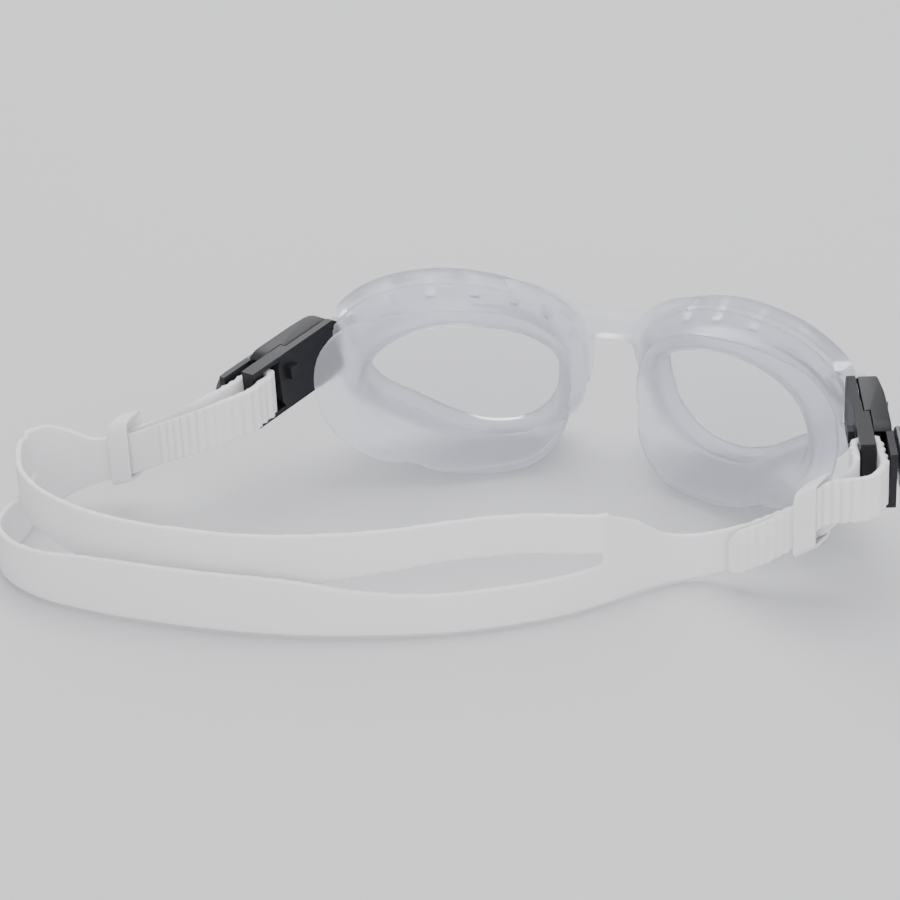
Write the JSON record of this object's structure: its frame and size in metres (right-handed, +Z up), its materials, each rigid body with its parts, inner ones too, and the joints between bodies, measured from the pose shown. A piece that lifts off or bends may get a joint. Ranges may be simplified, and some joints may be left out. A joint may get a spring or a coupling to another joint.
{
  "type": "swim goggles",
  "caption": "Swim goggles with clear lenses, frosted soft face seals, a split silicone strap and black side buckles with release buttons.",
  "frame": {"origin": "middle of the bounding box, on the surface that the goggles lie on", "axes": "+X towards the wearer's right, +Y the way the wearer looks, +Z up"},
  "size_m": [0.2336, 0.13, 0.0591],
  "materials": {
    "clear_plastic": "clear, polished",
    "frosted_silicone": "frosted, translucent",
    "strap_silicone": "satin, faintly translucent",
    "black_plastic": "satin",
    "smoke_plastic": "smoke grey, translucent"
  },
  "bodies": {
    "goggles": {"lens_left": "clear_plastic", "frame_left": "clear_plastic", "face_seal_left": "frosted_silicone", "buckle_body_left": "black_plastic", "buckle_cover_left": "black_plastic", "pawl_pin_left": "black_plastic", "lens_right": "clear_plastic", "frame_right": "clear_plastic", "face_seal_right": "frosted_silicone", "buckle_body_right": "black_plastic", "buckle_cover_right": "black_plastic", "pawl_pin_right": "black_plastic", "nose_bridge": "frosted_silicone", "head_strap": "strap_silicone"},
    "strap_pawl_left": {"strap_pawl_left": "black_plastic"},
    "release_button_left": {"release_button_left": "smoke_plastic"},
    "strap_keeper_left": {"strap_keeper_left": "strap_silicone"},
    "strap_pawl_right": {"strap_pawl_right": "black_plastic"},
    "release_button_right": {"release_button_right": "smoke_plastic"},
    "strap_keeper_right": {"strap_keeper_right": "strap_silicone"}
  },
  "joints": [
    {"name": "press_button_left", "type": "slide", "parent": "goggles", "child": "release_button_left", "axis": [0.9489, -0.3156, 0], "range_m": [0, 0.0008], "stiffness_N_per_m": 400},
    {"name": "rock_pawl_left", "type": "hinge", "parent": "goggles", "child": "strap_pawl_left", "pos_m": [-0.05724, 0.00838, 0.03533], "axis": [0.0275, 0.0827, -0.9962], "range_deg": [0, 11.75]},
    {"name": "slide_keeper_left", "type": "slide", "parent": "goggles", "child": "strap_keeper_left", "axis": [0.9334, -0.0548, 0.3547], "range_m": [-0.0015, 0.0015]},
    {"name": "press_button_right", "type": "slide", "parent": "goggles", "child": "release_button_right", "axis": [-0.9489, -0.3156, 0], "range_m": [0, 0.0008], "stiffness_N_per_m": 400},
    {"name": "rock_pawl_right", "type": "hinge", "parent": "goggles", "child": "strap_pawl_right", "pos_m": [0.10618, 0.00838, 0.03533], "axis": [0.0275, -0.0827, 0.9962], "range_deg": [0, 11.75]},
    {"name": "slide_keeper_right", "type": "slide", "parent": "goggles", "child": "strap_keeper_right", "axis": [0.7801, -0.2064, 0.5906], "range_m": [-0.0015, 0.0015]}
  ],
  "couplings": [
    {"joint": "rock_pawl_left", "follows": "press_button_left", "rad_per_m": 256.4},
    {"joint": "rock_pawl_right", "follows": "press_button_right", "rad_per_m": 256.4}
  ]
}
